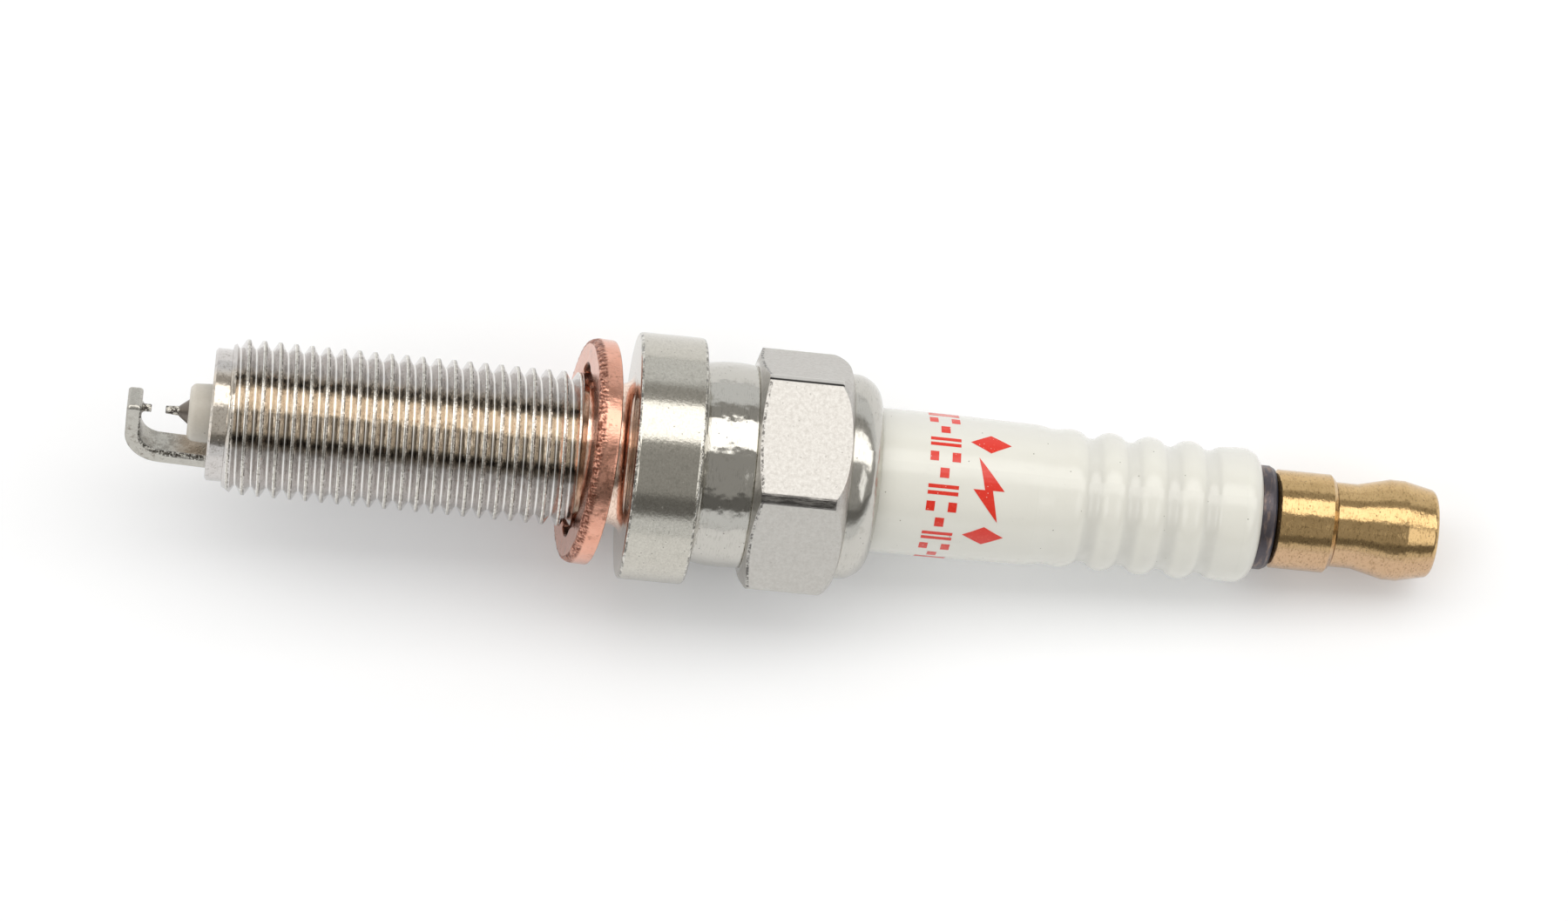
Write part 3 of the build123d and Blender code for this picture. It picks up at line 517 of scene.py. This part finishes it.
def strap_nickel():
    """The bent strap: satin, burnt inside its bend, with a torn line along its sheared inner edge, dark
    crumbs with painted highlights.
    """
    m = Finish("strap_nickel", (0.62, 0.60, 0.55), 0.28, 1.0)
    outwards = m.plus(m.times(m.y, STRAP_OUT[0]), m.times(m.z, STRAP_OUT[1]))
    sideways = m.plus(m.times(m.y, STRAP_ACROSS[0]), m.times(m.z, STRAP_ACROSS[1]))
    # depth below the strap's inner surface, which turns a rounded corner
    ahead = m.math("MAXIMUM", m.math("SUBTRACT", STRAP_BEND_X, m.x), 0.0)
    middle = m.plus(m.times(m.x, STRAP_SLOPE), STRAP_BEND_OUT)
    beside = m.math("MAXIMUM", m.math("SUBTRACT", outwards, middle), 0.0)
    depth = m.math("SQRT", m.plus(m.times(ahead, ahead), m.times(beside, beside)))
    depth = m.math("SUBTRACT", depth, STRAP_BEND_RADIUS)
    camera_side = m.step(sideways, 0.68, 0.78)
    bend = m.times(m.step(m.x, -29.0, -29.9), m.step(outwards, 0.3, 1.2))
    leg = m.step(m.x, -29.7, -28.9)

    grain = m.noise(8, 5, 0.75)
    crumbs = m.noise(5.5, 5, 0.85)
    color = m.mix((0.45, 0.435, 0.395), (0.57, 0.555, 0.51), m.noise(1.8, 4))
    stains = m.step(m.noise(2.6, 6, 0.8), 0.52, 0.62)
    color = m.mix(color, (0.15, 0.12, 0.09), m.times(stains, m.plus(m.times(bend, 0.5), 0.18)))
    inside = m.times(m.step(depth, 0.05, -0.02), m.step(sideways, 0.95, 0.85))
    soot = m.step(m.plus(m.noise(1.4, 5, 0.7), m.times(bend, 0.08)), 0.47, 0.60)
    color = m.mix(color, (0.13, 0.11, 0.09), m.times(inside, soot, 0.6))
    warm = m.times(inside, m.step(m.x, -29.2, -27.4))
    color = m.mix(color, (0.40, 0.29, 0.19), m.times(warm, 0.75))
    ends = m.times(m.step(depth, 0.80, 0.92), 0.35)
    color = m.mix(color, (0.20, 0.18, 0.15), ends)
    tear_width = m.lerp(0.10, 0.23, leg)
    tear = m.times(m.step(depth, m.plus(tear_width, 0.04), tear_width), camera_side)
    tear = m.times(tear, m.step(depth, -0.06, 0.0))
    dark = m.step(crumbs, 0.42, 0.52)
    # the torn line: dark crumbs with painted highlights between them
    color = m.mix(color, m.mix((0.95, 0.93, 0.86), (0.05, 0.04, 0.03), dark), m.times(tear, 0.9))
    m.color(color)
    m.roughness(m.lerp(0.2, 0.36, grain))
    m.bump((grain, 0.012), (m.noise(2.5, 4, 0.7), 0.04), (m.times(crumbs, tear), 0.12))
    return m.material


def iridium():
    m = Finish("iridium", (0.5, 0.49, 0.46), 0.2, 1.0)
    facets = m.noise(4, 3, 0.7)
    color = m.mix((0.06, 0.05, 0.045), (0.74, 0.71, 0.64), m.step(facets, 0.42, 0.56))
    m.color(color)
    m.roughness(m.lerp(0.10, 0.28, m.noise(9, 3)))
    m.bump((m.noise(4, 4, 0.7), 0.12))
    return m.material


def brass():
    m = Finish("brass", (0.50, 0.31, 0.16), 0.16, 0.95)
    turned = m.rings(9, 4, 0.4)
    clouds = m.noise(1.1, 4)
    color = m.mix((0.52, 0.345, 0.155), (0.69, 0.48, 0.235), clouds)
    # painted reflection: a rosy tint on the lower side
    painted_rosy_reflection = m.step(m.turn, -38, -60)           # the lower side is rosier in the photo
    color = m.mix(color, (0.56, 0.37, 0.25), m.times(painted_rosy_reflection, 0.7))
    spots = m.step(m.noise(2.8, 6, 0.75), 0.55, 0.68)
    color = m.mix(color, (0.20, 0.12, 0.045), m.times(spots, 0.6))
    pits = m.specks(2.2, 0.11)
    color = m.mix(color, (0.12, 0.065, 0.02), m.times(pits, 0.8))
    lines = m.step(turned, 0.52, 0.66)
    color = m.mix(color, (0.25, 0.15, 0.055), m.times(lines, 0.55))
    # painted shade in the corners at the foot of the base and of the waist
    foot = m.between(m.x, NUT_FOOT, NUT_FOOT + 0.11, 0.05)
    corner = m.plus(foot, m.between(m.x, NUT_WAIST, NUT_WAIST + 0.10, 0.04))
    color = m.mix(color, (0.12, 0.07, 0.03), m.times(corner, 0.8))
    m.color(color)
    m.roughness(m.lerp(0.09, 0.16, m.noise(6, 4)))
    m.bump((turned, 0.008), (m.noise(6, 2, 0.5), 0.004), (m.noise(0.9, 2), 0.03),
           (m.math("SUBTRACT", 1, pits), 0.02))
    return m.material


def blackened_steel():
    m = Finish("blackened_steel", (0.13, 0.11, 0.11), 0.34, 0.8)
    rubbed = m.step(m.noise(3.0, 4, 0.6, m.stretched(1, 0.3, 0.3)), 0.46, 0.70)
    color = m.mix((0.095, 0.085, 0.095), (0.24, 0.175, 0.145), rubbed)
    # painted shadow in the gap at the nut's foot
    painted_gap_shadow = m.between(m.x, NUT_FOOT - 0.13, NUT_FOOT, 0.04)
    color = m.mix(color, (0.010, 0.012, 0.022), m.times(painted_gap_shadow, 0.85))
    m.color(color)
    m.roughness(m.lerp(0.26, 0.44, m.noise(7, 4)))
    m.bump((m.rings(8, 3, 0.4), 0.014), (m.noise(6, 4, 0.7), 0.012))
    return m.material


def plain_steel():
    m = Finish("packing_steel", (0.45, 0.45, 0.45), 0.4, 1.0)
    m.color(m.mix((0.38, 0.38, 0.38), (0.52, 0.51, 0.50), m.noise(2, 3)))
    m.bump((m.noise(8, 3), 0.008))
    return m.material


def seal_glass():
    m = Finish("seal_glass", (0.12, 0.09, 0.07), 0.35)
    m.color(m.mix((0.06, 0.05, 0.05), (0.26, 0.16, 0.10), m.step(m.noise(4, 5, 0.7), 0.45, 0.65)))
    m.bump((m.noise(5, 4), 0.03))
    return m.material


def resistor_body():
    m = Finish("resistor_body", (0.05, 0.05, 0.05), 0.7)
    m.color(m.mix((0.03, 0.03, 0.03), (0.12, 0.12, 0.12), m.noise(6, 5, 0.7)))
    m.bump((m.noise(7, 4), 0.03))
    return m.material


def pressed_talc():
    m = Finish("talc", (0.78, 0.76, 0.72), 0.9)
    m.color(m.mix((0.70, 0.68, 0.64), (0.84, 0.82, 0.78), m.noise(3, 4)))
    m.bump((m.noise(9, 4), 0.03))
    return m.material


def red_ink():
    """Screen-printed ink, fired on: a little thin and uneven, with pinholes."""
    m = Finish("red_ink", (0.72, 0.03, 0.012), 0.3, coat_weight=0.3, coat_roughness=0.15)
    thin = m.step(m.noise(4, 5, 0.7), 0.52, 0.75)
    color = m.mix((0.72, 0.026, 0.010), (0.82, 0.11, 0.06), m.times(thin, 0.7))
    color = m.mix(color, (0.86, 0.70, 0.64), m.times(m.specks(3.2, 0.12), 0.7))
    m.color(color)
    m.bump((m.noise(6, 3), 0.004))
    return m.material


def dress(material, *names):
    for name in names:
        mesh = nodes[name].data
        mesh.materials.clear()
        mesh.materials.append(material)


def new_piece(name, vertices, faces, material, body):
    mesh = bpy.data.meshes.new(name)
    mesh.from_pydata(vertices, [], faces)
    mesh.materials.append(material)
    mesh.update()
    piece = bpy.data.objects.new(name, mesh)
    bpy.context.scene.collection.objects.link(piece)
    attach(piece, body)
    return piece


# ------------------------------------------------------------------ gasket
def gasket_profile(outer, hole):
    """The ring's section as (distance along its axis, radius), from the hole over the front face,
    the torn outer edge and the rim to the back. Each point has its kind."""
    half = GASKET_THICKNESS / 2
    points = []
    face_rows = 26
    lip = GASKET_LIP
    for row in range(7):                      # rounded inner lip of the front face
        turn = pi / 2 * row / 6
        points.append((-half + lip * (1 - sin(turn)), hole + lip * (1 - cos(turn)), "face"))
    face_start, face_end = hole + lip, outer - TEAR_WIDTH
    for row in range(1, face_rows):
        points.append((-half, face_start + (face_end - face_start) * row / face_rows, "face"))
    for row in range(9):                      # the torn edge left by the blanking punch
        share = row / 8
        points.append((-half + 0.03 + 0.40 * share**1.6, face_end + TEAR_WIDTH * share**0.6, "burr_and_shade"))
    for row in range(1, 8):
        points.append((-half + 0.43 + (2 * half - 0.43 - 0.1) * row / 7, outer, "rim"))
    points.append((half - 0.03, outer - 0.03, "back"))
    points.append((half, outer - 0.12, "back"))
    points.append((half, hole + 1.0, "back"))
    points.append((half, hole + 0.1, "back"))
    for row in range(8):
        back = half - GASKET_BACK_EDGE
        points.append((back - (back + half - lip) * row / 8, hole, "bore"))
    return points


def across_nib(angle):
    """The signed distance in millimetres round the hole from the nearest nib's middle."""
    offsets = [(angle - radians(nib) + pi) % (2 * pi) - pi for nib in GASKET_NIB_ANGLES]
    return min(offsets, key=abs) * GASKET_HOLE


def nib_share(across):
    """1 on a nib's middle, falling to 0 at its sides."""
    edge = (abs(across) - GASKET_NIB_WIDTH / 2 + 0.08) / 0.16
    return min(max(1 - edge, 0), 1)


def punch_nib(along, radius, across):
    """Drives a point inside a nib's curved cut down and inwards. Returns along, radius and the painted shade
    on the cut's wall.
    """
    share = nib_share(across)
    cut = GASKET_HOLE + GASKET_NIB_HEIGHT - GASKET_NIB_BOW * (across / (GASKET_NIB_WIDTH / 2)) ** 2
    if share == 0 or radius > cut + 0.05:
        return along, radius, 0.0
    # painted shade on the wall of the nib's cut
    cut_shade = share * max(0, 1 - abs(cut - 0.06 - radius) / 0.12)
    if radius > cut:
        return along, radius, cut_shade
    inwards = min((cut - radius) / (cut - GASKET_HOLE), 1)
    sunk = min((cut - radius) / 0.07, 1) * (GASKET_CUT_DEPTH + GASKET_NIB_SLOPE * inwards)
    along = max(along, -GASKET_THICKNESS / 2 + share * sunk)
    return along, radius - share**4 * inwards * (GASKET_HOLE - GASKET_NIB_RADIUS), cut_shade


def squeeze_bore(along, radius, across):
    """Keeps a point of the hole's wall behind a nib's tip. Returns along and radius."""
    share = nib_share(across)
    back = GASKET_THICKNESS / 2 - GASKET_BACK_EDGE
    front = GASKET_LIP - GASKET_THICKNESS / 2
    tip = share * (GASKET_CUT_DEPTH + GASKET_NIB_SLOPE) - GASKET_THICKNESS / 2
    along = back - (back - along) * (back - max(front, tip)) / (back - front)
    return along, radius - share**4 * (GASKET_HOLE - GASKET_NIB_RADIUS)


def gasket_point(along, radius, kind, angle):
    """One point of the ring with its tears, punched nibs and dents: place, torn edge darkness with painted
    shade, and painted shade in the cuts.
    """
    burr_and_shade = cut_shade = 0.0
    round_place = Vector((cos(angle) * radius, sin(angle) * radius, along))
    if kind == "burr_and_shade":
        tear = noise.noise(Vector((angle * 7.2 / 0.17, along / 0.5, 3.1)))
        crumb = noise.noise(round_place / 0.11)
        height = 0.5 * tear + 0.7 * crumb
        radius += 0.055 * height - 0.05
        along -= 0.05 * height
        # the torn edge is dark, with painted shade in its dips
        burr_and_shade = min(max(0.62 - 1.6 * height, 0), 1)
    if kind == "rim":
        radius += 0.012 * noise.noise(round_place / 0.7) - 0.012
    if kind == "face":
        along += 0.018 * noise.noise(round_place / 0.9) + 0.018
        along, radius, cut_shade = punch_nib(along, radius, across_nib(angle))
    if kind == "bore":
        along, radius = squeeze_bore(along, radius, across_nib(angle))
        # painted shade on the hole's wall
        cut_shade = BORE_SHADE
    return along, radius, burr_and_shade, cut_shade


def make_gasket():
    low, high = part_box("gasket")
    middle_x = (low[0] + high[0]) / 2 / MM
    outer = (high[1] - low[1]) / 2 / MM
    lean = radians(GASKET_TILT)
    axis = Vector((cos(lean), 0, -sin(lean)))
    side = Vector((0, 1, 0))
    rise = axis.cross(side)
    profile = gasket_profile(outer, GASKET_HOLE)
    vertices, burr_and_shade_values, cut_shades = [], [], []
    for turn in range(GASKET_TURNS):
        angle = 2 * pi * turn / GASKET_TURNS
        outwards = side * cos(angle) + rise * sin(angle)
        for along, radius, kind in profile:
            along, radius, burr_and_shade, cut_shade = gasket_point(along, radius, kind, angle)
            vertices.append((Vector((middle_x, 0, 0)) + axis * along + outwards * radius) * MM)
            burr_and_shade_values.append(burr_and_shade)
            cut_shades.append(cut_shade)
    rows = len(profile)
    faces = []
    for turn in range(GASKET_TURNS):
        start, following = turn * rows, (turn + 1) % GASKET_TURNS * rows
        for row in range(rows):
            after = (row + 1) % rows
            faces.append((start + row, following + row, following + after, start + after))
    piece = new_piece("gasket_ring", vertices, faces, copper("gasket_copper"), "gasket")
    for name, values in (("burr_and_shade", burr_and_shade_values), ("cut_shade", cut_shades)):
        layer = piece.data.attributes.new(name, "FLOAT", "POINT")
        layer.data.foreach_set("value", values)
    piece.data.polygons.foreach_set("use_smooth", [True] * len(faces))
    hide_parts("gasket")


# ------------------------------------------------------------------ print on the insulator
def barrel_place(x, angle, height):
    """A point over the barrel: angle in degrees from the camera's side of the plug, towards +Y."""
    turn = radians(angle - CAMERA_LEAN)
    radius = BARREL_RADIUS - max(0, x - BARREL_TAPER_START) * BARREL_TAPER_DROP / BARREL_TAPER_LENGTH + height
    return (x * MM, sin(turn) * radius * MM, cos(turn) * radius * MM)


def bands(outline):
    """Cuts an outline of (x, angle) points into bands narrow enough to follow the barrel's curve.
    Returns their outlines and the angles of the cuts between them."""
    low = min(point[1] for point in outline)
    high = max(point[1] for point in outline)
    count = ceil((high - low) / PRINT_BAND)
    limits = [low + (high - low) * index / count for index in range(count + 1)]
    cells = [clip(clip(outline, a, 1), b, -1) for a, b in zip(limits, limits[1:])]
    return cells, limits[1:-1]


def clip(outline, limit, side):
    """The part of an outline whose angle is above (side 1) or below (side -1) a limit."""
    kept = []
    for index, point in enumerate(outline):
        before = outline[index - 1]
        inside, was_inside = (point[1] - limit) * side >= 0, (before[1] - limit) * side >= 0
        if inside != was_inside:
            share = (limit - before[1]) / (point[1] - before[1])
            kept.append((before[0] + share * (point[0] - before[0]), limit))
        if inside:
            kept.append(point)
    return kept


def make_print(name, outlines):
    """Joins outlines into one printed piece with a top, a bottom and walls round each outline."""
    places, faces = {}, []

    def corner(point, side):
        return places.setdefault((round(point[0], 6), round(point[1], 6), side), len(places))

    for outline in outlines:
        cells, cuts = bands(outline)
        for cell in cells:
            faces.append([corner(point, 1) for point in cell])
            faces.append([corner(point, -1) for point in reversed(cell)])
            for before, point in zip(cell[-1:] + cell, cell):
                if not any(abs(before[1] - cut) + abs(point[1] - cut) < 1e-6 for cut in cuts):
                    faces.append([corner(place, side) for place, side in
                                  ((before, 1), (before, -1), (point, -1), (point, 1))])
    vertices = [barrel_place(x, angle, side * PRINT_THICKNESS) for x, angle, side in places]
    new_piece(name, vertices, faces, ink, "plug")


def block(x, angle, width, arc):
    return [(x - width / 2, angle - arc / 2), (x + width / 2, angle - arc / 2),
            (x + width / 2, angle + arc / 2), (x - width / 2, angle + arc / 2)]


def diamond(x, angle, width, arc):
    return [(x - width / 2, angle), (x, angle - arc / 2), (x + width / 2, angle), (x, angle + arc / 2)]


def type_marks():
    """A row of plain blocks round the barrel where a type code would stand."""
    outlines = []
    middle, width, arc = MARKS_X, MARKS_WIDTH, MARKS_ARC
    for index in range(MARKS_COUNT):
        angle = MARKS_START + index * MARKS_STEP
        if index % 3 == 2:
            outlines.append(block(middle - width * 0.36, angle, width * 0.28, arc))
            outlines.append(block(middle + width * 0.36, angle, width * 0.28, arc))
        elif index % 3 == 1:
            outlines.append(block(middle, angle, width * 0.3, arc))
        else:
            outlines.append(block(middle, angle - 2.6, width, 3))
            outlines.append(block(middle, angle + 2.6, width, 3))
    return outlines


def spark_emblem():
    """A plain lightning bolt between two diamonds."""
    x = EMBLEM_X
    bolt = [(x + 0.75, -26), (x - 1.0, 0), (x - 0.25, 0), (x - 0.75, 26), (x + 1.0, 0), (x + 0.25, 0)]
    diamonds = [diamond(x, side * DIAMOND_ANGLE, 2 * EMBLEM_HALF, DIAMOND_ARC) for side in (1, -1)]
    return [bolt] + diamonds


# ------------------------------------------------------------------ stage, camera and light
def resting_plane():
    """Where the plug lies: on the flange's rear edge and on the next thing behind it that touches
    a sloping floor. Returns the pivot (x, z) and the slope, in metres."""
    places = []
    for item in nodes.values():
        mesh = item.data
        flat = np.empty(len(mesh.vertices) * 3, dtype=np.float32)
        mesh.vertices.foreach_get("co", flat)
        places.append(flat.reshape(-1, 3))
    places = np.concatenate(places)
    lowest = places[:, 2].min()
    pivot_x = places[places[:, 2] < lowest + 0.02 * MM, 0].max()
    behind = places[places[:, 0] > pivot_x + 3 * MM]
    slope = ((behind[:, 2] - lowest) / (behind[:, 0] - pivot_x)).min()
    return float(pivot_x), float(lowest), float(slope)


def make_floor():
    pivot_x, lowest, slope = resting_plane()
    mesh = bpy.data.meshes.new("floor")
    square = [(x * FLOOR_HALF, y * FLOOR_HALF) for x, y in ((-1, -1), (1, -1), (1, 1), (-1, 1))]
    corners = [
        (x, y, lowest - FLOOR_GAP * MM + (x - pivot_x) * slope)
        for x, y in square
    ]
    mesh.from_pydata(corners, [], [(0, 1, 2, 3)])
    floor = bpy.data.objects.new("floor", mesh)
    bpy.context.scene.collection.objects.link(floor)
    m = Finish("floor_paper", (0.85, 0.855, 0.87), 0.9)
    m.color(m.mix((0.845, 0.855, 0.875), (0.855, 0.865, 0.885), m.noise(0.05, 2)))
    m.shader.inputs["Specular IOR Level"].default_value = 0.1
    m.shader.inputs["Emission Color"].default_value = (1, 1, 1, 1)
    m.shader.inputs["Emission Strength"].default_value = FLOOR_GLOW
    mesh.materials.append(m.material)


def make_camera():
    data = bpy.data.cameras.new("camera")
    data.sensor_width = CAMERA_SENSOR
    data.lens = CAMERA_LENS
    data.clip_start = 0.01
    data.clip_end = 10
    camera = bpy.data.objects.new("camera", data)
    bpy.context.scene.collection.objects.link(camera)
    place = Vector(CAMERA_PLACE) * MM
    aim = Vector(CAMERA_AIM) * MM
    forward = (aim - place).normalized()
    right = (Vector((1, 0, 0)) - forward * forward.x).normalized()
    up = right.cross(forward)
    forward = (aim + up * CAMERA_RAISE * MM - place).normalized()
    right = (Vector((1, 0, 0)) - forward * forward.x).normalized()
    up = right.cross(forward)
    roll = radians(CAMERA_ROLL)
    right, up = right * cos(roll) + up * sin(roll), up * cos(roll) - right * sin(roll)
    camera.matrix_world = Matrix((
        (right.x, up.x, -forward.x, place.x),
        (right.y, up.y, -forward.y, place.y),
        (right.z, up.z, -forward.z, place.z),
        (0, 0, 0, 1),
    ))
    bpy.context.scene.camera = camera


def softbox(name, low, high, distance, along, radiance, color):
    """A long soft light above the plug, between two directions in degrees from +Z towards +Y."""
    lean = radians((low + high) / 2)
    across = 2 * distance * tan(radians(high - low) / 2)
    data = bpy.data.lights.new(name, "AREA")
    data.shape = "RECTANGLE"
    data.size = along
    data.size_y = across
    data.energy = radiance * pi * along * across
    data.color = color
    light = bpy.data.objects.new(name, data)
    bpy.context.scene.collection.objects.link(light)
    light.location = (0, sin(lean) * distance, cos(lean) * distance)
    light.rotation_euler = (-lean, 0, 0)


def side_fill(name, direction, distance, size, power):
    """A square soft light that faces the middle of the plug."""
    towards = Vector(direction).normalized()
    data = bpy.data.lights.new(name, "AREA")
    data.shape = "SQUARE"
    data.size = size
    data.energy = power
    light = bpy.data.objects.new(name, data)
    bpy.context.scene.collection.objects.link(light)
    light.location = towards * distance
    light.rotation_euler = towards.to_track_quat("Z", "Y").to_euler()


def make_world():
    """A studio tent whose brightness changes with the direction about the plug's axis. It is
    middling overhead, dark low on the -Y side, and light at the sides and near the ground."""
    world = bpy.data.worlds.new("studio")
    bpy.context.scene.world = world
    world.use_nodes = True
    tree = world.node_tree
    background = tree.nodes["Background"]
    place = tree.nodes.new("ShaderNodeTexCoord")
    split = tree.nodes.new("ShaderNodeSeparateXYZ")
    turn = tree.nodes.new("ShaderNodeMath")
    turn.operation = "ARCTAN2"
    share = tree.nodes.new("ShaderNodeMapRange")
    share.inputs["From Min"].default_value = -pi
    share.inputs["From Max"].default_value = pi
    ramp = tree.nodes.new("ShaderNodeValToRGB")
    stops = ramp.color_ramp.elements
    for end in stops:
        end.color = (*SKY, 1)
    for angle, light in TENT:
        stops.new((angle + 180) / 360).color = (*light, 1)
    tree.links.new(place.outputs["Generated"], split.inputs[0])
    tree.links.new(split.outputs[1], turn.inputs[0])
    tree.links.new(split.outputs[2], turn.inputs[1])
    tree.links.new(turn.outputs[0], share.inputs["Value"])
    tree.links.new(share.outputs["Result"], ramp.inputs["Fac"])
    tree.links.new(ramp.outputs["Color"], background.inputs["Color"])


ink = red_ink()
dress(nickel_shell(), "metal_shell")
dress(glazed_alumina(), "insulator")
dress(copper(), "electrode_core")
dress(electrode_nickel(), "centre_electrode")
dress(strap_nickel(), "ground_electrode")
dress(iridium(), "centre_tip", "ground_tip")
dress(brass(), "terminal_nut")
dress(blackened_steel(), "terminal_stud")
dress(plain_steel(), "seat_packing", "lower_wire_ring", "upper_wire_ring")
dress(seal_glass(), "lower_glass_seal", "upper_glass_seal")
dress(resistor_body(), "resistor")
dress(pressed_talc(), "talc_ring")
make_gasket()
make_print("type_marks", type_marks())
make_print("spark_emblem", spark_emblem())

bpy.context.scene.view_settings.view_transform = "Standard"
make_floor()
make_camera()
make_world()
softbox("key_softbox", KEY_LOW, KEY_HIGH, KEY_DISTANCE, KEY_LENGTH, KEY_RADIANCE, KEY_COLOR)
side_fill("front_fill", (-FILL_SIDE[0], FILL_SIDE[1], FILL_SIDE[2]), FILL_DISTANCE, FILL_SIZE, FILL_POWER)
side_fill("rear_fill", FILL_SIDE, FILL_DISTANCE, FILL_SIZE, REAR_FILL_SHARE * FILL_POWER)
